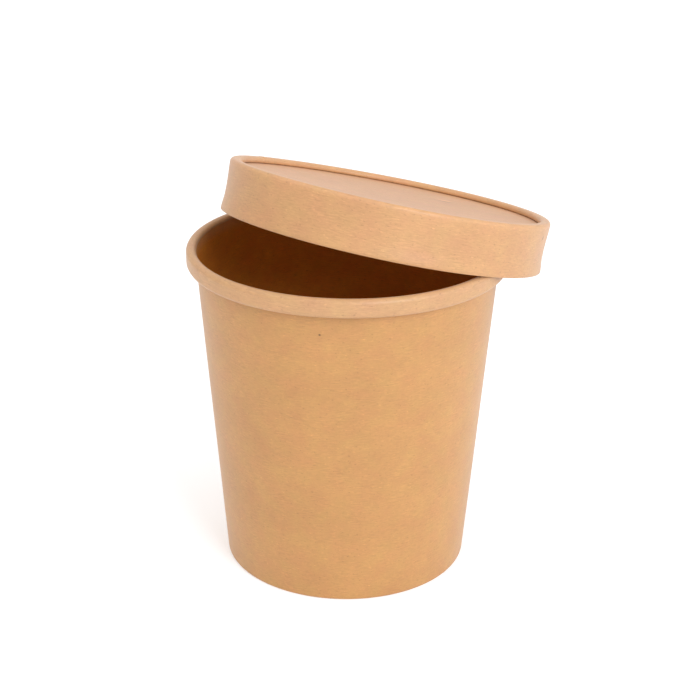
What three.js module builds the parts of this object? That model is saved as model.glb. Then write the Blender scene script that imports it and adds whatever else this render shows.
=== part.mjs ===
// Kraft paper food cup, open and empty, with its two-piece paper lid lying askew on the rolled rim.
// Millimetres, +Z up. The cup stands on z = 0, and the origin is below the middle of the whole.

import * as THREE from 'three';

// Board
const BOARD = 0.45;             // thickness of the coated kraft board
const PLY_GAP = 0.1;            // space between two glued plies
const FLATS = 64;               // flats round a full circle

// Cup wall
const CUP_HEIGHT = 102.35;      // foot to the top of the rolled rim
const RIM_RADIUS = 49;          // outside of the rolled rim
const FOOT_RADIUS = 38.16;      // outside of the wall at the foot
const WALL_TAPER = 0.0813;      // outward lean of the wall for each unit of height
const ROLL_DEPTH = 5.6;         // top of the rolled rim to its underside
const TAIL_LENGTH = 1.2;        // what the paper's edge runs up inside the roll
const HEM_HEIGHT = 6.2;         // foot to the upper edge of the folded-in hem
const FOOT_BEND = 0.4;          // radius of the two bends of the hem

// Cup bottom
const BOTTOM_RISE = 7;          // foot to the underside of the bottom disc
const BOTTOM_BEND = 0.5;        // radius of the bend between disc and flange
const FLANGE_FOOT = 1.2;        // foot to the lower edge of the flange

// Lid ring
const LID_HEIGHT = 15.88;       // skirt edge to the top of the ridge
const SKIRT_RADIUS = 50.34;     // outside of the skirt at its open edge
const RIDGE_RADIUS = 50.49;     // outside of the skirt just below the ridge
const RIDGE_WIDTH = 3.5;        // skirt face to recess wall, across the ridge
const RIDGE_ROUND = 1.1;        // outer rounding of the ridge
const RECESS_ROUND = 1.2;       // inner rounding of the ridge
const FOLD_CLEARANCE = 0.25;    // folded-in edge to the disc below it

// Lid disc
const RECESS = 1.95;            // top of the ridge down to the edge of the disc
const DISC_BEND = 0.35;         // radius of the bend between disc and flange
const DISC_SAG = 1.8;           // how far the middle of the disc is dished
const DISC_RINGS = 4;           // rings of facets that follow the dish
const FLANGE_TOP = 14.75;       // skirt edge to the upper edge of the flange

// How the lid lies: it has slid to the back right, with its front left edge up
const LID_AT = new THREE.Vector3(10.45, 11.06, 100.12);     // middle of the skirt's open edge
const LID_PITCH = THREE.MathUtils.degToRad(-11.68);         // front edge up
const LID_ROLL = THREE.MathUtils.degToRad(11.22);           // right edge down
const LID_OVAL = 0.02;          // out of round, as a share of the radius
const OVAL_HEADING = THREE.MathUtils.degToRad(45.2);        // heading of the long way across
const LID_WARP = 0.31;          // how far the lid is twisted up and down
const WARP_HEADING = THREE.MathUtils.degToRad(32.9);        // heading of the raised sides

// Finish
const KRAFT_OUTSIDE = 0xdda873;
const KRAFT_BOTTOM = 0xc99862;
const KRAFT_LID = 0xe2b184;
const KRAFT_DISC = 0xe0b797;
const KRAFT_ROUGHNESS = 0.82;

const QUARTER = Math.PI / 2;

/** Points of an arc in the (radius, height) plane, both ends included. */
function arc(centreR, centreZ, radius, from, to, steps) {
  const points = [];
  for (let i = 0; i <= steps; i += 1) {
    const angle = from + ((to - from) * i) / steps;
    points.push(new THREE.Vector2(centreR + radius * Math.cos(angle), centreZ + radius * Math.sin(angle)));
  }
  return points;
}

/** Left-hand unit normal of the step from a to b. */
function stepNormal(a, b) {
  const step = b.clone().sub(a).normalize();
  return new THREE.Vector2(-step.y, step.x);
}

/** Offsets the middle line of a sheet to one side, with mitred corners. */
function offsetLine(line, distance) {
  return line.map((point, i) => {
    const before = i > 0 ? stepNormal(line[i - 1], point) : null;
    const after = i < line.length - 1 ? stepNormal(point, line[i + 1]) : null;
    const normal = before && after ? before.clone().add(after).normalize() : before || after;
    const mitre = before && after ? normal.dot(after) : 1;
    return point.clone().addScaledVector(normal, distance / mitre);
  });
}

/** Closed section of a board that follows a middle line, in anticlockwise order. */
function boardSection(line) {
  const section = [...offsetLine(line, BOARD / 2), ...offsetLine(line, -BOARD / 2).reverse()];
  if (THREE.ShapeUtils.area(section) < 0) {
    section.reverse();
  }
  return section;
}

/** Turns a board's middle line about the Z axis; a line that starts on the axis gives a disc. */
function turnBoard(line) {
  const section = boardSection(line);
  if (line[0].x === 0) {
    section[0].x = 0;
    section[section.length - 1].x = 0;
  } else {
    section.push(section[0].clone());
  }
  const geometry = new THREE.LatheGeometry(section, FLATS);
  geometry.rotateX(QUARTER);
  return geometry;
}

/** Outside radius of the cup wall at a height. */
function wallRadius(z) {
  return FOOT_RADIUS + WALL_TAPER * z;
}

/** Point that lies a given depth inside the wall's outer face. */
function insideWall(depth, z) {
  return new THREE.Vector2(wallRadius(z) - depth, z);
}

/** Middle line of the cup wall: hem, foot, wall, rolled rim and the tail inside the roll. */
function cupWallLine() {
  const hemDepth = BOARD / 2 + 2 * (BOARD + PLY_GAP);
  const footCentreZ = BOARD / 2 + FOOT_BEND;
  const foot = insideWall(BOARD / 2, footCentreZ);
  const hemFoot = insideWall(hemDepth, footCentreZ);
  const rimLineRadius = RIM_RADIUS - BOARD / 2;
  const wallLineAtTop = wallRadius(CUP_HEIGHT - BOARD / 2) - BOARD / 2;
  const topBend = (rimLineRadius - wallLineAtTop) / 2 / (1 - WALL_TAPER / 2);
  const topZ = CUP_HEIGHT - BOARD / 2 - topBend;
  const undersideZ = CUP_HEIGHT - ROLL_DEPTH + BOARD / 2;
  const tailDepth = -(BOARD / 2 + PLY_GAP);
  const lowBend = (rimLineRadius - insideWall(tailDepth, undersideZ + topBend).x) / 2;
  const lowZ = undersideZ + lowBend;
  return [
    insideWall(hemDepth, HEM_HEIGHT),
    ...arc(hemFoot.x + FOOT_BEND, footCentreZ, FOOT_BEND, 2 * QUARTER, 3 * QUARTER, 2),
    ...arc(foot.x - FOOT_BEND, footCentreZ, FOOT_BEND, -QUARTER, 0, 2),
    ...arc(rimLineRadius - topBend, topZ, topBend, 2 * QUARTER, 0, 7),
    ...arc(rimLineRadius - lowBend, lowZ, lowBend, 0, -2 * QUARTER, 7),
    insideWall(tailDepth, lowZ + TAIL_LENGTH),
  ];
}

/** Middle line of the cup bottom: a flat disc whose edge is turned down between wall and hem. */
function cupBottomLine() {
  const discZ = BOTTOM_RISE + BOARD / 2;
  const bendZ = discZ - BOTTOM_BEND;
  const flangeDepth = BOARD + PLY_GAP + BOARD / 2;
  const edge = insideWall(flangeDepth, bendZ);
  return [
    new THREE.Vector2(0, discZ),
    ...arc(edge.x - BOTTOM_BEND, bendZ, BOTTOM_BEND, QUARTER, 0, 3),
    insideWall(flangeDepth, FLANGE_FOOT),
  ];
}

/** Middle line of the lid ring: skirt, rounded ridge and the edge folded down round the disc. */
function lidRingLine() {
  const recessRadius = RIDGE_RADIUS - RIDGE_WIDTH;
  const outerBend = RIDGE_ROUND - BOARD / 2;
  const innerBend = RECESS_ROUND - BOARD / 2;
  return [
    new THREE.Vector2(SKIRT_RADIUS - BOARD / 2, 0),
    ...arc(RIDGE_RADIUS - RIDGE_ROUND, LID_HEIGHT - RIDGE_ROUND, outerBend, 0, QUARTER, 4),
    ...arc(recessRadius + RECESS_ROUND, LID_HEIGHT - RECESS_ROUND, innerBend, QUARTER, 2 * QUARTER, 4),
    new THREE.Vector2(recessRadius + BOARD / 2, LID_HEIGHT - RECESS + FOLD_CLEARANCE),
  ];
}

/** Middle line of the lid disc: a dished disc whose edge is turned up behind the recess wall. */
function lidDiscLine() {
  const flangeRadius = RIDGE_RADIUS - RIDGE_WIDTH + BOARD + PLY_GAP + BOARD / 2;
  const edgeZ = LID_HEIGHT - RECESS - BOARD / 2;
  const dishRadius = flangeRadius - DISC_BEND;
  const line = [];
  for (let i = 0; i < DISC_RINGS; i += 1) {
    const share = i / DISC_RINGS;
    line.push(new THREE.Vector2(dishRadius * share, edgeZ - DISC_SAG * (1 - share * share)));
  }
  line.push(...arc(dishRadius, edgeZ + DISC_BEND, DISC_BEND, -QUARTER, 0, 3));
  line.push(new THREE.Vector2(flangeRadius, FLANGE_TOP));
  return line;
}

/** Gives a round lid piece the lid's slight oval and twist. */
function relax(geometry) {
  const position = geometry.getAttribute('position');
  for (let i = 0; i < position.count; i += 1) {
    const x = position.getX(i);
    const y = position.getY(i);
    const heading = Math.atan2(y, x);
    const share = Math.hypot(x, y) / RIDGE_RADIUS;
    const stretch = 1 + LID_OVAL * Math.cos(2 * (heading - OVAL_HEADING));
    const lift = LID_WARP * share * share * Math.cos(2 * (heading - WARP_HEADING));
    position.setXYZ(i, x * stretch, y * stretch, position.getZ(i) + lift);
  }
  return geometry;
}

/** Named mesh in a plain kraft finish. */
function piece(name, geometry, color) {
  const material = new THREE.MeshStandardMaterial({ color, roughness: KRAFT_ROUGHNESS, metalness: 0 });
  const mesh = new THREE.Mesh(geometry, material);
  mesh.name = name;
  return mesh;
}

function buildCup() {
  const cup = new THREE.Group();
  cup.add(piece('cup_wall', turnBoard(cupWallLine()), KRAFT_OUTSIDE));
  cup.add(piece('cup_bottom', turnBoard(cupBottomLine()), KRAFT_BOTTOM));
  return cup;
}

function buildLid() {
  const lid = new THREE.Group();
  lid.add(piece('lid_ring', relax(turnBoard(lidRingLine())), KRAFT_LID));
  lid.add(piece('lid_disc', relax(turnBoard(lidDiscLine())), KRAFT_DISC));
  lid.position.copy(LID_AT);
  lid.rotation.set(LID_PITCH, LID_ROLL, 0, 'YXZ');
  return lid;
}

/** Stands the whole on z = 0 with its middle above the origin. */
function centreOnFloor(object) {
  const box = new THREE.Box3().setFromObject(object, true);
  const middle = box.getCenter(new THREE.Vector3());
  object.position.set(-middle.x, -middle.y, -box.min.z);
}

const coveredCup = new THREE.Group();
coveredCup.add(buildCup(), buildLid());
centreOnFloor(coveredCup);

const part = new THREE.Group();
part.add(coveredCup);

export default part;
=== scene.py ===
"""A kraft paper food cup, open and empty, with its two-piece paper lid lying askew on the rolled rim."""

import math

import bmesh
import bpy
from mathutils import Matrix, Vector


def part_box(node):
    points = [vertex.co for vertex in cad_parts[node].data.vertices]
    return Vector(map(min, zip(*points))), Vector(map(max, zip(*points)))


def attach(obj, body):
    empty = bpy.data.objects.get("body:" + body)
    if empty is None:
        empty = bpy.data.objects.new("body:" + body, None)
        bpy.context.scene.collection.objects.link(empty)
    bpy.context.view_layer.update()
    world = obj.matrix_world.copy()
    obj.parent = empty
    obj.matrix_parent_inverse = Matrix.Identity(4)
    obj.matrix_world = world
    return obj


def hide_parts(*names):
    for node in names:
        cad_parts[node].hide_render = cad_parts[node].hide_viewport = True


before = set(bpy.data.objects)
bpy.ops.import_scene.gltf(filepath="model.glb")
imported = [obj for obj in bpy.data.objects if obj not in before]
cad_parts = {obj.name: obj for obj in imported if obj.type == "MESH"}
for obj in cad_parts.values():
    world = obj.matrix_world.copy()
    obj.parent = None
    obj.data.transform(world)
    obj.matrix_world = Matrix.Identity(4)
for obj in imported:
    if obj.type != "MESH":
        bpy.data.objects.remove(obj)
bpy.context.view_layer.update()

BODY = "root"
MM = 0.001

# Places and sizes that the frame gives
WALL_LOW, WALL_HIGH = (Vector(corner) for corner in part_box("cup_wall"))
CUP_AXIS = Vector(((WALL_LOW.x + WALL_HIGH.x) / 2, (WALL_LOW.y + WALL_HIGH.y) / 2, 0))
RIM_RADIUS = (WALL_HIGH.x - WALL_LOW.x) / 2

# Board
BOARD = 0.45 * MM
PLY_GAP = 0.1 * MM
CUT_SOFTNESS = 0.06 * MM
LAP_STEP = 0.3 * MM             # how far the overlapping ply of a glued seam stands up
LAP_FADE = 9 * MM               # width over which the seam's swelling dies away
LAP_RISE = 2 * MM               # height over which the step comes in above the foot
JOIN_DISTANCE = 0.002 * MM      # points closer than this are one
WAVER_LOBES = 1.6               # scale of the noise, on a circle of radius 1, that makes a sheet waver
WAVER_RISE = 8                  # how fast the waver changes for each metre of height

# Steps round a piece and along its outline
TURNS = 320
WALL_STEPS = 28
TOP_ROLL_STEPS = 20
LOW_ROLL_STEPS = 18
FOOT_BEND_STEPS = 6
BASE_RINGS = 12
SKIRT_STEPS = 20
RIDGE_BEND_STEPS = 12
DISH_RINGS = 20
DISC_BEND_STEPS = 8
SHORT_STEPS = 3                 # on the short flats between two bends

# Cup wall
CUP_HEIGHT = 102.35 * MM
FOOT_RADIUS = 38.16 * MM
WALL_TAPER = 0.0813
ROLL_DEPTH = 5.6 * MM
TAIL_LENGTH = 1.2 * MM
HEM_HEIGHT = 6.2 * MM
FOOT_BEND = 0.4 * MM
CUP_SEAM = math.radians(8)
CUP_WAVER = 0.25 * MM
ROLL_PALE_FROM = 2.2 * MM       # depth below the rim's top where the rolled board starts to look paler
ROLL_PALE_FULL = 1 * MM         # depth from which it is fully pale

# Heat-seal marks pressed into the hem, inside the foot
MARKS = 168
MARK_FOOT = 1.1 * MM
MARK_HEIGHT = 3.4 * MM
MARK_WIDTH = 0.7 * MM
MARK_DEPTH = 0.16 * MM
MARK_END = 0.35 * MM            # length of a mark's tapered end
MARK_SUNK = 0.05 * MM           # how far a mark's edges lie below the hem's face

# Cup bottom
BOTTOM_RISE = 7 * MM
BOTTOM_BEND = 0.5 * MM
FLANGE_FOOT = 1.2 * MM

# Lid ring and disc
LID_HEIGHT = 15.88 * MM
SKIRT_RADIUS = 50.26 * MM
RIDGE_RADIUS = 50.41 * MM
RIDGE_WIDTH = 3.42 * MM
RIDGE_ROUND = 1.1 * MM
RECESS_ROUND = 1.2 * MM
FOLD_CLEARANCE = 0.25 * MM
RECESS = 1.95 * MM
DISC_BEND = 0.35 * MM
DISC_SAG = 1.8 * MM
FLANGE_TOP = 14.75 * MM
SKIRT_FLARE = 0.3 * MM
FLARE_SHARE = 0.3               # lower share of the skirt that flares
SKIRT_PINCH = 0.2 * MM
SKIRT_WAVER = 0.5 * MM
SKIRT_WAVER_SEED = 5.0          # gives the skirt a waver of its own, unlike the cup wall's
RIDGE_PALE_HIGHLIGHT_FROM = 2.2 * MM      # depth below the ridge's top where the bent board starts to look paler, partly as a painted highlight
RIDGE_PALE_HIGHLIGHT_FULL = 0.4 * MM
RIDGE_PRESS_FROM = 3 * MM       # depth below the ridge's top where the seam starts to be pressed flat
RIDGE_PRESS = 0.8               # share of the seam's step that the press takes away
LID_SEAM = math.radians(150)

# How the lid lies on the cup
LID_FROM_AXIS = Vector((10.45, 11.06, 100.12)) * MM
LID_PITCH = math.radians(-11.68)
LID_ROLL = math.radians(11.22)
LID_OVAL = 0.02
OVAL_HEADING = math.radians(45.2)
LID_WARP = 0.31 * MM
WARP_HEADING = math.radians(32.9)

# The photograph's viewpoint, from the cup's axis at floor level
CAMERA_BACK = 452.96 * MM
CAMERA_UP = 257.78 * MM
CAMERA_DIP = math.radians(22.83)
CAMERA_TURN = math.radians(0.127)
CAMERA_LEAN = math.radians(-0.526)
CAMERA_LENS = 80.84
CAMERA_SENSOR = 36

# Kraft tones, before the light falls on them, except that the inside tone holds painted shade and the
# ridge tone a painted highlight
WALL_TONE = "#b7844c"
RIM_TONE = "#bd8f62"
# The inside tone is partly painted shade: a deeper, more saturated brown for the shaded inside of the cup
# and lid
INSIDE_TONE_AND_SHADE = "#cc7e2c"
LID_TONE = "#be8d5e"
# The ridge tone is paler than the lid's, partly a painted highlight
RIDGE_TONE_WITH_HIGHLIGHT = "#c59364"
DISC_TONE = "#c38f62"
BASE_TONE = "#b07a46"
CUT_TONE = "#ad7f50"

# Pattern of the board
NOISE_LOW, NOISE_HIGH = 0.3, 0.7        # between these lie nearly all values of a noise
FLECK_FROM, FLECK_FULL = 0.65, 0.75     # rare high values of a noise, where flecks lie
SPOT_CORE, SPOT_EDGE = 0.35, 0.65       # where a spot is full and where it ends, in shares of its width
RELIEF_HEIGHT = 0.03 * MM
RELIEF_STRENGTH = 0.4
BOARD_IOR = 1.5
SHEEN_ROUGHNESS = 0.4

# Light: each softbox has its place and size in metres, its power in watts and its colour
WHITE = "#ffffff"
COOL_WHITE = "#e6f0ff"
SOFTBOXES = {
    "key_front_right": ((0.62, -1.0, 0.8), 0.6, 10.4, COOL_WHITE),
    "side_right": ((1.2, -0.15, 0.5), 0.8, 2.2, COOL_WHITE),
    "fill_top_left": ((-0.7, -0.3, 1.1), 0.8, 2.4, WHITE),
}
LIGHT_AIM = Vector((0, 0, 0.06))
DIM_LEFT = 0.8                          # brightness of the studio on its left, against 1 elsewhere
DIM_FULL, DIM_END = -0.8, -0.25         # X of the directions where the dimness is full and where it ends

# Light table
FLOOR_REACH = 6.0
FLOOR_TONE = "#e6e6e6"
FLOOR_ROUGHNESS = 0.9
FLOOR_GLOW = 0.27


def linear(hex_colour):
    """Turns an sRGB hex colour into linear RGBA."""
    channels = [int(hex_colour[i:i + 2], 16) / 255 for i in (1, 3, 5)]
    return (*[c / 12.92 if c <= 0.04045 else ((c + 0.055) / 1.055) ** 2.4 for c in channels], 1)


def add_node(tree, kind, inputs=None, **settings):
    """Adds a node; each input is a value, or a socket or node to link from."""
    node = tree.nodes.new(kind)
    for name, value in settings.items():
        setattr(node, name, value)
    for key, value in (inputs or {}).items():
        if isinstance(value, bpy.types.Node):
            value = value.outputs[0]
        if isinstance(value, bpy.types.NodeSocket):
            tree.links.new(value, node.inputs[key])
        else:
            node.inputs[key].default_value = value
    return node


def maths(tree, operation, *values, clamp=False):
    """One arithmetic step in a tree."""
    node = add_node(tree, "ShaderNodeMath", dict(enumerate(values)), operation=operation, use_clamp=clamp)
    return node.outputs[0]


def ease(value, low, high):
    """Rises smoothly from 0 at low to 1 at high."""
    t = min(max((value - low) / (high - low), 0), 1)
    return t * t * (3 - 2 * t)


# ---------------------------------------------------------------- outlines of the board

def arc(centre_r, centre_z, radius, start, end, steps):
    """Points of an arc in the (radius, height) plane, with angles in quarter turns."""
    angles = [(start + (end - start) * i / steps) * math.pi / 2 for i in range(steps + 1)]
    return [Vector((centre_r + radius * math.cos(a), centre_z + radius * math.sin(a))) for a in angles]


def stretch(start, end, steps):
    """Points of a straight run, without its first and last ones."""
    return [start.lerp(end, i / steps) for i in range(1, steps)]


def wall_radius(z):
    return FOOT_RADIUS + WALL_TAPER * z


def inside_wall(depth, z):
    return Vector((wall_radius(z) - depth, z))


def cup_wall_line():
    """Middle line of the cup wall: hem, foot, wall, rolled rim and the tail inside the roll."""
    hem_depth = BOARD / 2 + 2 * (BOARD + PLY_GAP)
    foot_z = BOARD / 2 + FOOT_BEND
    foot = inside_wall(BOARD / 2, foot_z)
    hem_foot = inside_wall(hem_depth, foot_z)
    rim_line = RIM_RADIUS - BOARD / 2
    wall_line_at_top = wall_radius(CUP_HEIGHT - BOARD / 2) - BOARD / 2
    top_bend = (rim_line - wall_line_at_top) / 2 / (1 - WALL_TAPER / 2)
    top_z = CUP_HEIGHT - BOARD / 2 - top_bend
    underside_z = CUP_HEIGHT - ROLL_DEPTH + BOARD / 2
    tail_depth = -(BOARD / 2 + PLY_GAP)
    low_bend = (rim_line - inside_wall(tail_depth, underside_z + top_bend).x) / 2
    low_z = underside_z + low_bend
    top = arc(rim_line - top_bend, top_z, top_bend, 2, 0, TOP_ROLL_STEPS)
    low = arc(rim_line - low_bend, low_z, low_bend, 0, -2, LOW_ROLL_STEPS)
    return [
        inside_wall(hem_depth, HEM_HEIGHT),
        *arc(hem_foot.x + FOOT_BEND, foot_z, FOOT_BEND, 2, 3, FOOT_BEND_STEPS),
        *arc(foot.x - FOOT_BEND, foot_z, FOOT_BEND, -1, 0, FOOT_BEND_STEPS),
        *stretch(foot, top[0], WALL_STEPS),
        *top,
        *stretch(top[-1], low[0], SHORT_STEPS),
        *low,
        inside_wall(tail_depth, low_z + TAIL_LENGTH),
    ]


def cup_bottom_line():
    """Middle line of the cup bottom: a flat disc with its edge turned down between wall and hem."""
    disc_z = BOTTOM_RISE + BOARD / 2
    bend_z = disc_z - BOTTOM_BEND
    flange_depth = BOARD + PLY_GAP + BOARD / 2
    edge = inside_wall(flange_depth, bend_z)
    bend = arc(edge.x - BOTTOM_BEND, bend_z, BOTTOM_BEND, 1, 0, DISC_BEND_STEPS)
    centre = Vector((0, disc_z))
    return [centre, *stretch(centre, bend[0], BASE_RINGS), *bend, inside_wall(flange_depth, FLANGE_FOOT)]


def lid_ring_line():
    """Middle line of the lid ring: skirt, rounded ridge and the edge folded down round the disc.

    The skirt is pinched a little at half height and flares at its open edge."""
    recess_radius = RIDGE_RADIUS - RIDGE_WIDTH
    outer = arc(RIDGE_RADIUS - RIDGE_ROUND, LID_HEIGHT - RIDGE_ROUND,
                RIDGE_ROUND - BOARD / 2, 0, 1, RIDGE_BEND_STEPS)
    inner = arc(recess_radius + RECESS_ROUND, LID_HEIGHT - RECESS_ROUND,
                RECESS_ROUND - BOARD / 2, 1, 2, RIDGE_BEND_STEPS)
    skirt_edge = Vector((SKIRT_RADIUS - BOARD / 2, 0))
    skirt = []
    for i in range(SKIRT_STEPS):
        share = i / SKIRT_STEPS
        flare = SKIRT_FLARE * (1 - ease(share, 0, FLARE_SHARE))
        pinch = SKIRT_PINCH * math.sin(math.pi * share) ** 2
        skirt.append(skirt_edge.lerp(outer[0], share) + Vector((flare - pinch, 0)))
    fold_edge = Vector((recess_radius + BOARD / 2, LID_HEIGHT - RECESS + FOLD_CLEARANCE))
    return [*skirt, *outer, *stretch(outer[-1], inner[0], SHORT_STEPS), *inner, fold_edge]


def lid_disc_line():
    """Middle line of the lid disc: a dished disc with its edge turned up behind the recess wall."""
    flange_radius = RIDGE_RADIUS - RIDGE_WIDTH + BOARD + PLY_GAP + BOARD / 2
    edge_z = LID_HEIGHT - RECESS - BOARD / 2
    dish_radius = flange_radius - DISC_BEND
    dish = [
        Vector((dish_radius * i / DISH_RINGS, edge_z - DISC_SAG * (1 - (i / DISH_RINGS) ** 2)))
        for i in range(DISH_RINGS)
    ]
    return [
        *dish,
        *arc(dish_radius, edge_z + DISC_BEND, DISC_BEND, -1, 0, DISC_BEND_STEPS),
        Vector((flange_radius, FLANGE_TOP)),
    ]


def line_normals(line):
    """Left-hand normals of a middle line, lengthened so that an offset keeps its mitred corners."""
    normals = []
    for i in range(len(line)):
        steps = [line[k + 1] - line[k] for k in (i - 1, i) if 0 <= k < len(line) - 1]
        sides = [Vector((-s.y, s.x)).normalized() for s in steps]
        normal = (sides[0] + sides[-1]).normalized()
        normals.append(normal / normal.dot(sides[0]))
    return normals


# What each point of a section keeps, and which of it the finished piece keeps for its finish
SECTION_VALUES = ("run", "film_side", "cut", "lap", "loose", "stretched")
KEPT_VALUES = ("film_side", "cut", "stretched")


def board_section(name, line, traits):
    """A closed section of the board round a middle line, as a mesh of points in the XZ plane.

    Each point keeps how far along the sheet it lies, which face it is on, which way that face
    looks, whether it is on a cut edge, and what traits(point, film) gives: how much of a seam's
    step shows there, how free the sheet is to waver, and how much paler it is where stretched over
    a bend, which on the lid's ridge and recess wall is partly a painted highlight."""
    normals = line_normals(line)
    left = [p + n * BOARD / 2 for p, n in zip(line, normals)]
    right = [p - n * BOARD / 2 for p, n in zip(line, normals)]
    runs = [0]
    for a, b in zip(line, line[1:]):
        runs.append(runs[-1] + (b - a).length)

    def row(point, i, film, cut=0):
        normal = normals[i].normalized() * (1 if film else -1)
        lap, loose, stretched = traits(point, film)
        return {"point": point, "run": runs[i], "film_side": film, "cut": cut, "lap": lap,
                "loose": loose, "stretched": stretched, "out": (normal.x, 0, normal.y)}

    def cut_rows(i, inward):
        """Rows of a cut edge, softened where it meets the faces, from the film face to the other."""
        across = (right[i] - left[i]).normalized() * CUT_SOFTNESS
        step = inward.normalized() * CUT_SOFTNESS
        return [row(left[i] + step, i, 1), row(left[i] + across, i, 1, 1),
                row(right[i] - across, i, 0, 1), row(right[i] + step, i, 0)]

    last = len(line) - 1
    front = [row(left[i], i, 1) for i in range(1, last)]
    back = [row(right[i], i, 0) for i in range(last - 1, 0, -1)]
    end = cut_rows(last, line[-2] - line[-1])
    if line[0].x == 0:
        rows = [row(Vector((0, left[0].y)), 0, 1), *front, *end, *back, row(Vector((0, right[0].y)), 0, 0)]
    else:
        start = cut_rows(0, line[1] - line[0])[::-1]
        rows = [start[-1], *front, *end, *back, *start]
    mesh = bpy.data.meshes.new(name)
    mesh.from_pydata([(r["point"].x, 0, r["point"].y) for r in rows], [], [])
    for key in SECTION_VALUES:
        mesh.attributes.new(key, "FLOAT", "POINT").data.foreach_set("value", [r[key] for r in rows])
    outs = [part for r in rows for part in r["out"]]
    mesh.attributes.new("out", "FLOAT_VECTOR", "POINT").data.foreach_set("vector", outs)
    return mesh


def cup_wall_traits(point, film):
    """The seam shows on the wall and over the roll, whose board is stretched; the wall can waver."""
    rise = point.y
    on_wall = abs(point.x - wall_radius(rise)) < 1.5 * BOARD
    on_roll = point.x > wall_radius(rise) + BOARD / 4
    lowest = BOTTOM_RISE + 2 * BOARD if film else FOOT_BEND
    lap = ease(rise, lowest, lowest + LAP_RISE)
    if not film and rise > CUP_HEIGHT - ROLL_DEPTH:
        lap = 0
    loose = math.sin(math.pi * min(rise / (CUP_HEIGHT - ROLL_DEPTH), 1)) if on_wall else 0
    stretched = 1 if on_roll else ease(rise, CUP_HEIGHT - ROLL_PALE_FROM, CUP_HEIGHT - ROLL_PALE_FULL)
    return lap, loose, stretched


def lid_ring_traits(point, film):
    """The seam shows down the skirt and is pressed nearly flat on the ridge, whose bent board and the
    recess wall look paler, partly as a painted highlight.
    """
    rise = point.y
    on_recess_wall = point.x < RIDGE_RADIUS - RIDGE_WIDTH / 2
    pressed = RIDGE_PRESS * ease(rise, LID_HEIGHT - RIDGE_PRESS_FROM, LID_HEIGHT - RIDGE_ROUND)
    loose = 1 - ease(rise, 0, LID_HEIGHT - RIDGE_ROUND)
    if film:
        return 0, loose, 0
    # The recess wall takes the paler tone all over, as painted light
    if on_recess_wall:
        return 1 - pressed, loose, 1
    # The ridge's top takes the paler tone, partly a painted highlight
    return 1 - pressed, loose, ease(rise, LID_HEIGHT - RIDGE_PALE_HIGHLIGHT_FROM, LID_HEIGHT - RIDGE_PALE_HIGHLIGHT_FULL)


def disc_traits(point, film):
    """A disc has no seam and no loose edge."""
    return 0, 0, 0


# ---------------------------------------------------------------- geometry node trees

def new_geometry_tree(name, inputs):
    """Starts a geometry node tree; returns it with its input sockets and each input's identifier."""
    tree = bpy.data.node_groups.new(name, "GeometryNodeTree")
    tree.interface.new_socket("Geometry", in_out="INPUT", socket_type="NodeSocketGeometry")
    names = {}
    for label, kind in inputs.items():
        socket = tree.interface.new_socket(label, in_out="INPUT", socket_type="NodeSocket" + kind)
        names[label] = socket.identifier
    tree.interface.new_socket("Geometry", in_out="OUTPUT", socket_type="NodeSocketGeometry")
    return tree, tree.nodes.new("NodeGroupInput").outputs, names


def smooth_and_real(tree, geometry):
    """Shades a tree's geometry smooth and makes its instances real."""
    smooth = add_node(tree, "GeometryNodeSetShadeSmooth", {"Geometry": geometry})
    return add_node(tree, "GeometryNodeRealizeInstances", {"Geometry": smooth})


def end_tree(tree, geometry):
    """Links a tree's last node to its output."""
    out = tree.nodes.new("NodeGroupOutput")
    tree.links.new(geometry.outputs[0], out.inputs[0])


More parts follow.
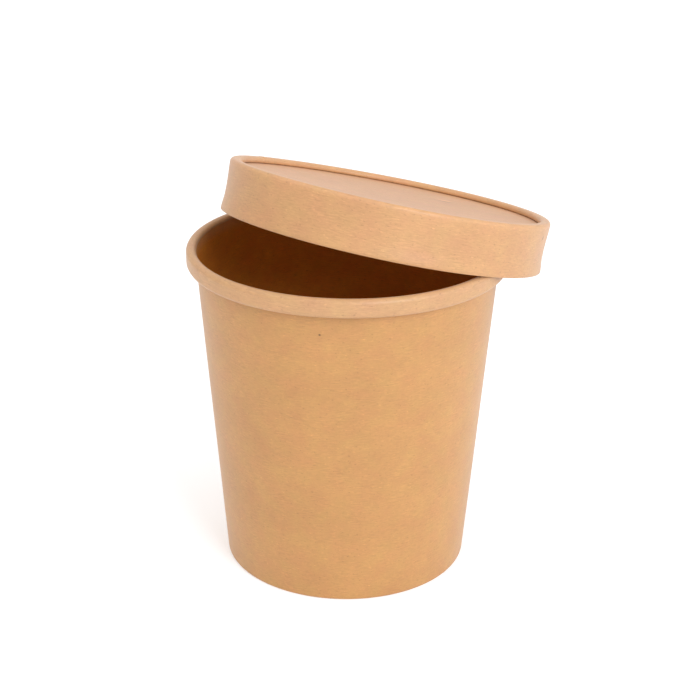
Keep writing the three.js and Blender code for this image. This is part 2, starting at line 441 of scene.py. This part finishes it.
def turned_board_tree():
    """Turns a section about the Z axis into a closed board and lays it in place.

    The board can be oval, warped and wavering, its two faces can step at a glued seam, and its
    film face has a finish of its own up to where the board is stretched."""
    tree, get, names = new_geometry_tree("turned_board", {
        "Points": "Int", "Turns": "Int", "Seam": "Float", "Sheet Radius": "Float", "Flat Sheet": "Bool",
        "Lap Step": "Float", "Lap Fade": "Float",
        "Oval": "Float", "Oval Heading": "Float", "Warp": "Float", "Warp Heading": "Float",
        "Warp Radius": "Float", "Waver": "Float", "Waver Seed": "Float",
        "Place": "Vector", "Tilt": "Rotation", "Plain Finish": "Material", "Film Finish": "Material",
    })

    # A grid with a column of the section's points at each step round. The last column stands at the
    # seam again, as the other ply does, so that the two columns there close the step
    columns = maths(tree, "ADD", get["Turns"], 2)
    grid = add_node(tree, "GeometryNodeMeshGrid", {
        "Size X": 1, "Size Y": 1, "Vertices X": get["Points"], "Vertices Y": columns})
    spot = add_node(tree, "ShaderNodeSeparateXYZ", {0: add_node(tree, "GeometryNodeInputPosition")})
    last = maths(tree, "SUBTRACT", get["Points"], 1)
    index = maths(tree, "ROUND", maths(
        tree, "MULTIPLY", maths(tree, "ADD", spot.outputs["X"], 0.5), last))
    steps = maths(tree, "ADD", get["Turns"], 1)
    column = maths(tree, "ROUND", maths(
        tree, "MULTIPLY", maths(tree, "ADD", spot.outputs["Y"], 0.5), steps))
    closing = maths(tree, "GREATER_THAN", column, maths(tree, "ADD", get["Turns"], 0.5))
    share_round = maths(tree, "DIVIDE", maths(tree, "MINIMUM", column, get["Turns"]), get["Turns"])
    from_seam = maths(tree, "MULTIPLY", share_round, math.tau)
    turn = maths(tree, "ADD", from_seam, get["Seam"])

    def sample(value, data_type):
        return add_node(tree, "GeometryNodeSampleIndex", {
            "Geometry": get["Geometry"], "Value": value, "Index": index}, data_type=data_type).outputs[0]

    def sample_named(key, data_type):
        node = add_node(tree, "GeometryNodeInputNamedAttribute", {"Name": key}, data_type=data_type)
        return sample(node.outputs[0], data_type)

    section = add_node(tree, "ShaderNodeSeparateXYZ", {
        0: sample(add_node(tree, "GeometryNodeInputPosition").outputs[0], "FLOAT_VECTOR")})
    out_way = add_node(tree, "ShaderNodeSeparateXYZ", {0: sample_named("out", "FLOAT_VECTOR")})
    kept = {key: sample_named(key, "FLOAT") for key in SECTION_VALUES}

    # The plain face swells towards the seam, and the film face swells away from it
    fade = maths(tree, "DIVIDE", get["Lap Fade"], get["Sheet Radius"])
    before = maths(tree, "DIVIDE", maths(tree, "SUBTRACT", math.tau, from_seam), fade, clamp=True)
    after = maths(tree, "DIVIDE", from_seam, fade, clamp=True)
    not_closing = maths(tree, "SUBTRACT", 1, closing)
    plain_lap = maths(tree, "MULTIPLY", maths(tree, "SUBTRACT", 1, before), not_closing)
    film_lap = maths(tree, "MAXIMUM", maths(tree, "SUBTRACT", 1, after), closing)
    face_lap = add_node(tree, "ShaderNodeMix", {
        "Factor": kept["film_side"], "A": plain_lap, "B": film_lap}).outputs[0]
    lap = maths(tree, "MULTIPLY", maths(tree, "MULTIPLY", face_lap, kept["lap"]), get["Lap Step"])
    radius = maths(tree, "MULTIPLY_ADD", lap, out_way.outputs["X"], section.outputs["X"])
    height = maths(tree, "MULTIPLY_ADD", lap, out_way.outputs["Z"], section.outputs["Z"])

    def two_lobes(heading):
        return maths(tree, "COSINE", maths(tree, "MULTIPLY", maths(tree, "SUBTRACT", turn, heading), 2))

    # The oval and the waver push the board outwards, and the warp lifts it
    share = maths(tree, "DIVIDE", radius, get["Warp Radius"])
    oval = maths(tree, "MULTIPLY_ADD", get["Oval"], two_lobes(get["Oval Heading"]), 1)
    lift = maths(tree, "MULTIPLY", maths(tree, "MULTIPLY", share, share),
                 maths(tree, "MULTIPLY", get["Warp"], two_lobes(get["Warp Heading"])))
    cosine, sine = maths(tree, "COSINE", turn), maths(tree, "SINE", turn)
    round_spot = add_node(tree, "ShaderNodeCombineXYZ", {
        "X": cosine, "Y": sine, "Z": maths(tree, "MULTIPLY_ADD", height, WAVER_RISE, get["Waver Seed"])})
    noise = add_node(tree, "ShaderNodeTexNoise", {"Vector": round_spot, "Scale": WAVER_LOBES, "Detail": 1})
    waver = maths(tree, "MULTIPLY", maths(tree, "SUBTRACT", noise.outputs[0], 0.5), get["Waver"])
    reach = maths(tree, "ADD", maths(tree, "MULTIPLY", radius, oval),
                  maths(tree, "MULTIPLY", waver, kept["loose"]))
    position = add_node(tree, "ShaderNodeCombineXYZ", {
        "X": maths(tree, "MULTIPLY", reach, cosine), "Y": maths(tree, "MULTIPLY", reach, sine),
        "Z": maths(tree, "ADD", height, lift)})

    # The flat sheet that the piece is made from, on which its pattern lies
    rolled = add_node(tree, "ShaderNodeCombineXYZ", {
        "X": maths(tree, "MULTIPLY", turn, get["Sheet Radius"]), "Y": kept["run"]})
    sheet = add_node(tree, "GeometryNodeSwitch", {
        "Switch": get["Flat Sheet"], "False": rolled, "True": position}, input_type="VECTOR")

    captured = add_node(tree, "GeometryNodeCaptureAttribute", {"Geometry": grid}, domain="POINT")
    values = {"place": position.outputs[0], "sheet": sheet.outputs[0]}
    values.update({key: kept[key] for key in KEPT_VALUES})
    for key, value in values.items():
        kind = "VECTOR" if key in ("place", "sheet") else "FLOAT"
        captured.capture_items.new(kind, key)
        tree.links.new(value, captured.inputs[key])
    placed = add_node(tree, "GeometryNodeSetPosition", {
        "Geometry": captured.outputs["Geometry"], "Position": captured.outputs["place"]})
    stored = add_node(tree, "GeometryNodeStoreNamedAttribute", {
        "Geometry": placed, "Name": "sheet", "Value": captured.outputs["sheet"]},
        data_type="FLOAT2", domain="CORNER")
    for key in KEPT_VALUES:
        stored = add_node(tree, "GeometryNodeStoreNamedAttribute", {
            "Geometry": stored, "Name": key, "Value": captured.outputs[key]},
            data_type="FLOAT", domain="POINT")
    closed = add_node(tree, "GeometryNodeMergeByDistance", {"Geometry": stored, "Distance": JOIN_DISTANCE})
    laid = add_node(tree, "GeometryNodeTransform", {
        "Geometry": closed, "Translation": get["Place"], "Rotation": get["Tilt"]})
    real = smooth_and_real(tree, laid)
    plain = add_node(tree, "GeometryNodeSetMaterial", {"Geometry": real, "Material": get["Plain Finish"]})
    film_side, stretched = (
        add_node(tree, "GeometryNodeInputNamedAttribute", {"Name": key}, data_type="FLOAT").outputs[0]
        for key in ("film_side", "stretched"))
    lined = maths(tree, "GREATER_THAN", maths(tree, "SUBTRACT", film_side, stretched), 0.5)
    end_tree(tree, add_node(tree, "GeometryNodeSetMaterial", {
        "Geometry": plain, "Selection": lined, "Material": get["Film Finish"]}))
    return tree, names


def ring_of_marks_tree():
    """Repeats a mark round the Z axis."""
    tree, get, names = new_geometry_tree("ring_of_marks", {
        "Marks": "Int", "Place": "Vector", "Finish": "Material"})
    points = add_node(tree, "GeometryNodePoints", {"Count": get["Marks"]})
    step = maths(tree, "DIVIDE", math.tau, get["Marks"])
    heading = maths(tree, "MULTIPLY", add_node(tree, "GeometryNodeInputIndex").outputs[0], step)
    ring = add_node(tree, "GeometryNodeInstanceOnPoints", {
        "Points": points, "Instance": get["Geometry"],
        "Rotation": add_node(tree, "ShaderNodeCombineXYZ", {"Z": heading})})
    laid = add_node(tree, "GeometryNodeTransform", {"Geometry": ring, "Translation": get["Place"]})
    end_tree(tree, add_node(tree, "GeometryNodeSetMaterial", {
        "Geometry": smooth_and_real(tree, laid), "Material": get["Finish"]}))
    return tree, names


def face_outwards(mesh):
    """Turns every face of a closed mesh outwards."""
    shape = bmesh.new()
    shape.from_mesh(mesh)
    bmesh.ops.recalc_face_normals(shape, faces=shape.faces)
    shape.to_mesh(mesh)
    shape.free()


def grown(name, mesh, tree, names, values):
    """Runs a geometry node tree on a mesh and returns the plain result as an object at the origin."""
    seed = bpy.data.objects.new(name + "_seed", mesh)
    bpy.context.scene.collection.objects.link(seed)
    modifier = seed.modifiers.new(tree.name, "NODES")
    modifier.node_group = tree
    for label, value in values.items():
        modifier[names[label]] = value
    seed.update_tag()
    evaluated = seed.evaluated_get(bpy.context.evaluated_depsgraph_get())
    result = bpy.data.meshes.new_from_object(evaluated)
    result.name = name
    seed.modifiers.remove(modifier)
    bpy.data.objects.remove(seed)
    bpy.data.meshes.remove(mesh)
    face_outwards(result)
    piece = bpy.data.objects.new(name, result)
    bpy.context.scene.collection.objects.link(piece)
    return piece


# ---------------------------------------------------------------- finishes

def kraft_board(name, tone, stretched_and_highlight_tone, roughness, specular, sheen, marks=()):
    """Brown kraft board, machine-made from long pine fibres.

    The pulp is cloudy, its fibres show as fine paler and darker strokes that lie mostly along the
    sheet, and where the board is bent over its fibres open and look paler; on the lid's ridge and
    recess wall that paler tone is partly a painted highlight. The surface is dull with a soft sheen
    that whitens at a flat angle. A mark is a bark speck or fleck in the sheet, or a dent whose shade
    and highlight are painted: its place, width and height in mm, its turn in degrees and how dark or
    pale it is."""
    material = bpy.data.materials.new(name)
    material.use_nodes = True
    tree = material.node_tree
    tree.nodes.clear()
    sheet = add_node(tree, "ShaderNodeUVMap", uv_map="sheet")
    millimetres = add_node(tree, "ShaderNodeMapping", {"Vector": sheet, "Scale": (1 / MM, 1 / MM, 1)})

    def laid_out(width, height, turn, place):
        """The sheet's coordinates from a place in mm, in units of that width and height in mm."""
        return add_node(tree, "ShaderNodeMapping", {
            "Vector": millimetres, "Scale": (width, height, 1), "Location": (*place, 0),
            "Rotation": (0, 0, math.radians(turn))}, vector_type="TEXTURE")

    def pattern(width, height, low, high, turn=0.0, shift=0.0, **detail):
        """A noise whose grains have that width and height in mm, swinging from low to high."""
        vector = laid_out(width, height, turn, (shift, shift))
        noise = add_node(tree, "ShaderNodeTexNoise", {"Vector": vector, "Scale": 1, **detail})
        return add_node(tree, "ShaderNodeMapRange", {
            "Value": noise, "From Min": NOISE_LOW, "From Max": NOISE_HIGH,
            "To Min": low, "To Max": high}).outputs[0]

    def flecks(width, height, depth, shift):
        """Scattered flecks of that width and height in mm, darker or paler by depth."""
        noise = add_node(tree, "ShaderNodeTexNoise", {
            "Vector": laid_out(width, height, 0, (shift, shift)), "Scale": 1, "Detail": 1.0})
        return add_node(tree, "ShaderNodeMapRange", {
            "Value": noise, "From Min": FLECK_FROM, "From Max": FLECK_FULL,
            "To Min": 1, "To Max": depth}).outputs[0]

    def spot(place, width, height, turn, depth):
        """One spot at a place in mm, of that width and height in mm, darker or paler by depth."""
        away = add_node(tree, "ShaderNodeVectorMath", {0: laid_out(width, height, turn, place)},
                        operation="LENGTH")
        return add_node(tree, "ShaderNodeMapRange", {
            "Value": away.outputs["Value"], "From Min": SPOT_CORE, "From Max": SPOT_EDGE,
            "To Min": depth, "To Max": 1}).outputs[0]

    def blend(factor, a, b):
        """A mix of two colours, each given as hex or linked from a socket."""
        # For colours, the node's inputs 6 and 7 are A and B, and its output 2 is the result
        node = add_node(tree, "ShaderNodeMix", {"Factor": factor}, data_type="RGBA")
        for socket, value in ((node.inputs[6], a), (node.inputs[7], b)):
            if isinstance(value, str):
                socket.default_value = linear(value)
            else:
                tree.links.new(value, socket)
        return node.outputs[2]

    # Paler tone where the board is bent; on the lid's ridge and recess wall it is partly a painted
    # highlight
    stretched = add_node(tree, "ShaderNodeAttribute", attribute_name="stretched").outputs["Fac"]
    cut = add_node(tree, "ShaderNodeAttribute", attribute_name="cut").outputs["Fac"]
    board = blend(cut, blend(stretched, tone, stretched_and_highlight_tone), CUT_TONE)

    # Real pine fibres are 1 to 4 mm long and 0.04 mm across. These are drawn 0.4 mm across, so that
    # they show, and the long ones lie only where the pulp was tangled
    clouds = pattern(19, 14, 0.965, 1.03, Detail=1.0)
    mottle = pattern(5.5, 4, 0.95, 1.043, shift=31, Detail=4.0, Roughness=0.7)
    grain = pattern(1.0, 0.6, 0.96, 1.036, shift=7, Detail=2.0, Roughness=0.7)
    short_fibres = pattern(1.8, 0.4, 0.972, 1.028, turn=-5, shift=3, Detail=1.0)
    long_fibres = pattern(2.8, 0.42, -0.1, 0.1, turn=2, Detail=1.0)
    tangled = pattern(7, 4, 0, 1, shift=71, Detail=2.0)
    long_fibres = maths(tree, "MULTIPLY_ADD", long_fibres, tangled, 1)
    dark_flecks = flecks(1.1, 0.6, 0.8, shift=83)
    pale_flecks = flecks(1.4, 0.55, 1.15, shift=97)
    shade = clouds
    for layer in (mottle, grain, short_fibres, long_fibres, dark_flecks, pale_flecks,
                  *(spot(*mark) for mark in marks)):
        shade = maths(tree, "MULTIPLY", shade, layer)
    tinted = add_node(tree, "ShaderNodeVectorMath", {0: board, "Scale": shade}, operation="SCALE")
    hue_swing = pattern(7.5, 6, 0.4955, 0.504, shift=53, Detail=2.0)
    varied = add_node(tree, "ShaderNodeHueSaturation", {"Color": tinted, "Hue": hue_swing})

    # Low relief of the fibres
    relief = maths(tree, "ADD", pattern(0.9, 0.4, 0, 1, shift=11, Detail=3.0),
                   pattern(2.6, 0.34, 0, 0.6, turn=3, Detail=2.0))
    bump = add_node(tree, "ShaderNodeBump", {
        "Height": relief, "Strength": RELIEF_STRENGTH, "Distance": RELIEF_HEIGHT})
    shader = add_node(tree, "ShaderNodeBsdfPrincipled", {
        "Base Color": varied, "Roughness": roughness, "IOR": BOARD_IOR, "Specular IOR Level": specular,
        "Normal": bump, "Sheen Weight": sheen, "Sheen Roughness": SHEEN_ROUGHNESS})
    output = tree.nodes.new("ShaderNodeOutputMaterial")
    tree.links.new(shader.outputs[0], output.inputs[0])
    return material


def floor_finish():
    """A backlit white table of matt opal acrylic, so bright that shadows on it all but vanish."""
    material = bpy.data.materials.new("opal_acrylic_light_table")
    material.use_nodes = True
    shader = material.node_tree.nodes["Principled BSDF"]
    shader.inputs["Base Color"].default_value = linear(FLOOR_TONE)
    shader.inputs["Roughness"].default_value = FLOOR_ROUGHNESS
    shader.inputs["Emission Color"].default_value = linear(WHITE)
    shader.inputs["Emission Strength"].default_value = FLOOR_GLOW
    return material


# ---------------------------------------------------------------- the object

def turned(name, line, traits, board_tree, finishes, **changes):
    """A piece of board turned round its own axis and laid in place.

    Its finishes are those of the plain face and of the film face, and the changes are the tree's
    inputs that aren't as on a plain round piece on the cup's axis."""
    mesh = board_section(name + "_section", line, traits)
    tree, names = board_tree
    plain_finish, film_finish = finishes
    values = {
        "Points": len(mesh.vertices), "Turns": TURNS, "Seam": 0.0, "Sheet Radius": RIM_RADIUS,
        "Flat Sheet": False, "Lap Step": 0.0, "Lap Fade": LAP_FADE,
        "Oval": 0.0, "Oval Heading": OVAL_HEADING, "Warp": 0.0, "Warp Heading": WARP_HEADING,
        "Warp Radius": RIDGE_RADIUS, "Waver": 0.0, "Waver Seed": 0.0, "Place": tuple(CUP_AXIS),
        "Tilt": (0, 0, 0), "Plain Finish": plain_finish, "Film Finish": film_finish,
    }
    values.update({label.replace("_", " ").title(): value for label, value in changes.items()})
    return grown(name, mesh, tree, names, values)


def seal_mark():
    """One pressed rib on the hem's inner face, tapered at its ends, at heading 0."""
    hem_depth = 2 * (BOARD + PLY_GAP) + BOARD
    top = MARK_FOOT + MARK_HEIGHT
    vertices = []
    for z, height in ((MARK_FOOT, -MARK_SUNK), (MARK_FOOT + MARK_END, MARK_DEPTH),
                      (top - MARK_END, MARK_DEPTH), (top, -MARK_SUNK)):
        face = wall_radius(z) - hem_depth
        for side, proud in ((-0.5, -MARK_SUNK), (-0.2, height), (0.2, height), (0.5, -MARK_SUNK)):
            vertices.append((face - proud, side * MARK_WIDTH, z))
    faces = [(4 * i + k, 4 * i + k + 1, 4 * i + k + 5, 4 * i + k + 4) for i in range(3) for k in range(3)]
    faces += [(4 * i + 4, 4 * i + 7, 4 * i + 3, 4 * i) for i in range(3)]
    faces += [(3, 2, 1, 0), (12, 13, 14, 15)]
    mesh = bpy.data.meshes.new("seal_mark")
    mesh.from_pydata(vertices, [], faces)
    layer = mesh.uv_layers.new(name="sheet")
    for loop in mesh.loops:
        spot = mesh.vertices[loop.vertex_index].co
        layer.data[loop.index].uv = (spot.y, spot.z)
    return mesh


def on_sheet(heading, seam, run):
    """Place on a rolled sheet in mm: a heading in degrees and how far along the section it lies."""
    turn = (math.radians(heading) - seam) % math.tau + seam
    return (turn * RIM_RADIUS / MM, run)


def lined_inside():
    """The board's inner face, laminated with a clear matt film that deepens its brown; its tone is deeper
    still as painted shade, for the shade inside the cup and under the lid.
    """
    return kraft_board("kraft_inside_film_lined_with_painted_shade", INSIDE_TONE_AND_SHADE, RIM_TONE,
                       roughness=0.65, specular=0.1, sheen=0.0)


def plain_underside():
    """The board's unpolished outer face below the cup's bottom, darker and duller."""
    return kraft_board("kraft_base_board_plain", BASE_TONE, BASE_TONE,
                       roughness=0.6, specular=0.4, sheen=0.1)


def build_cup(board_tree, inside, underside):
    """The cup's pieces, each with the node that it replaces and its slot."""
    speck_run = HEM_HEIGHT / MM + 91.1      # down the hem, then up the wall
    bark_speck = (on_sheet(-99.7, CUP_SEAM, speck_run), 0.72, 0.6, 0, 0.35)
    # Machine-finished outside, with a faint gloss
    wall_board = kraft_board("kraft_cup_board_machine_finished", WALL_TONE, RIM_TONE,
                             roughness=0.45, specular=0.5, sheen=0.1, marks=[bark_speck])
    sidewall = turned("cup_sidewall", cup_wall_line(), cup_wall_traits, board_tree, (wall_board, inside),
                      seam=CUP_SEAM, lap_step=LAP_STEP, waver=CUP_WAVER)
    base_disc = turned("cup_base_disc", cup_bottom_line(), disc_traits, board_tree, (underside, inside),
                       flat_sheet=True)
    return [("cup_wall", "cup_board", sidewall), ("cup_bottom", "bottom_board", base_disc)]


def build_lid(board_tree, inside):
    """The lid's pieces, each with the node that it replaces and its slot."""
    skirt_fleck = (on_sheet(-21.5, LID_SEAM, 11.7), 1.7, 0.7, 50, 0.5)
    # A small dent in the disc, drawn only as colour: a dark crescent of painted shade with a pale flake of
    # painted highlight beside it
    disc_dent_painted_shade = ((20.1, 25.6), 4.2, 2.2, -15, 0.66)
    disc_dent_painted_highlight = ((20.2, 26.9), 4.0, 1.8, -15, 1.5)
    # Machine-finished outside, as the cup's, from a paler batch
    # Its ridge tone is partly a painted highlight
    ring_board = kraft_board("kraft_lid_board_machine_finished", LID_TONE, RIDGE_TONE_WITH_HIGHLIGHT,
                             roughness=0.45, specular=0.5, sheen=0.1, marks=[skirt_fleck])
    # Rolled smooth between steel rollers, so its gloss is broad and even
    disc_board = kraft_board("kraft_disc_board_calendered", DISC_TONE, DISC_TONE,
                             roughness=0.5, specular=0.5, sheen=0.1, marks=[disc_dent_painted_shade, disc_dent_painted_highlight])
    lie = {"place": tuple(CUP_AXIS + LID_FROM_AXIS), "tilt": (LID_PITCH, LID_ROLL, 0),
           "oval": LID_OVAL, "warp": LID_WARP}
    ring = turned("lid_ring_strip", lid_ring_line(), lid_ring_traits, board_tree, (ring_board, inside),
                  seam=LID_SEAM, lap_step=LAP_STEP, waver=SKIRT_WAVER, waver_seed=SKIRT_WAVER_SEED,
                  **lie)
    # The disc lies with its plain face up, so its two finishes change places
    disc = turned("lid_top_disc", lid_disc_line(), disc_traits, board_tree, (inside, disc_board),
                  flat_sheet=True, **lie)
    return [("lid_ring", "lid_board", ring), ("lid_disc", "disc_board", disc)]


def build_seal_marks(finish):
    """The pressed marks inside the foot, which stand for no node of their own."""
    tree, names = ring_of_marks_tree()
    marks = grown("foot_seal_marks", seal_mark(), tree, names,
                  {"Marks": MARKS, "Place": tuple(CUP_AXIS), "Finish": finish})
    return [(None, "bottom_board", marks)]


def build_pieces():
    """Every piece, with the node that it replaces and its slot."""
    board_tree = turned_board_tree()
    inside, underside = lined_inside(), plain_underside()
    return [*build_seal_marks(underside), *build_cup(board_tree, inside, underside),
            *build_lid(board_tree, inside)]


# ---------------------------------------------------------------- studio

def add_camera():
    """The photograph's viewpoint: a long lens in front of the cup, looking down on it."""
    dip, turn, lean = CAMERA_DIP, CAMERA_TURN, CAMERA_LEAN
    forward = Vector((math.sin(turn) * math.cos(dip), math.cos(turn) * math.cos(dip), -math.sin(dip)))
    right = forward.cross(Vector((0, 0, 1))).normalized()
    down = forward.cross(right)
    leaned_right = right * math.cos(lean) + down * math.sin(lean)
    leaned_down = down * math.cos(lean) - right * math.sin(lean)
    data = bpy.data.cameras.new("camera")
    data.lens = CAMERA_LENS
    data.sensor_width = CAMERA_SENSOR
    camera = bpy.data.objects.new("camera", data)
    axes = Matrix((leaned_right, -leaned_down, -forward)).transposed().to_4x4()
    camera.matrix_world = Matrix.Translation(CUP_AXIS + Vector((0, -CAMERA_BACK, CAMERA_UP))) @ axes
    bpy.context.scene.collection.objects.link(camera)
    bpy.context.scene.camera = camera


def add_floor():
    reach = FLOOR_REACH
    mesh = bpy.data.meshes.new("floor")
    mesh.from_pydata([(-reach, -reach, 0), (reach, -reach, 0), (reach, reach, 0), (-reach, reach, 0)],
                     [], [(0, 1, 2, 3)])
    floor = bpy.data.objects.new("floor", mesh)
    bpy.context.scene.collection.objects.link(floor)
    mesh.materials.append(floor_finish())


def add_softbox(name, place, size, power, colour):
    """A large square light, turned towards the cup."""
    data = bpy.data.lights.new(name, "AREA")
    data.size = size
    data.energy = power
    data.color = linear(colour)[:3]
    light = bpy.data.objects.new(name, data)
    aim = LIGHT_AIM - Vector(place)
    light.matrix_world = Matrix.Translation(place) @ aim.to_track_quat("-Z", "Y").to_matrix().to_4x4()
    bpy.context.scene.collection.objects.link(light)


def add_studio_light():
    """A white studio that is a little dimmer on its left, and its softboxes."""
    world = bpy.data.worlds.new("white_studio")
    world.use_nodes = True
    background = world.node_tree.nodes["Background"]
    background.inputs["Color"].default_value = linear(WHITE)
    direction = add_node(world.node_tree, "ShaderNodeSeparateXYZ", {
        0: add_node(world.node_tree, "ShaderNodeTexCoord").outputs["Generated"]})
    brightness = add_node(world.node_tree, "ShaderNodeMapRange", {
        "Value": direction.outputs["X"], "From Min": DIM_FULL, "From Max": DIM_END,
        "To Min": DIM_LEFT, "To Max": 1})
    world.node_tree.links.new(brightness.outputs[0], background.inputs["Strength"])
    bpy.context.scene.world = world
    for name, settings in SOFTBOXES.items():
        add_softbox(name, *settings)
    bpy.context.scene.view_settings.view_transform = "Standard"


add_camera()
for cad_node, slot, piece in build_pieces():
    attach(piece, BODY)
    if cad_node:
        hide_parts(cad_node)
add_floor()
add_studio_light()
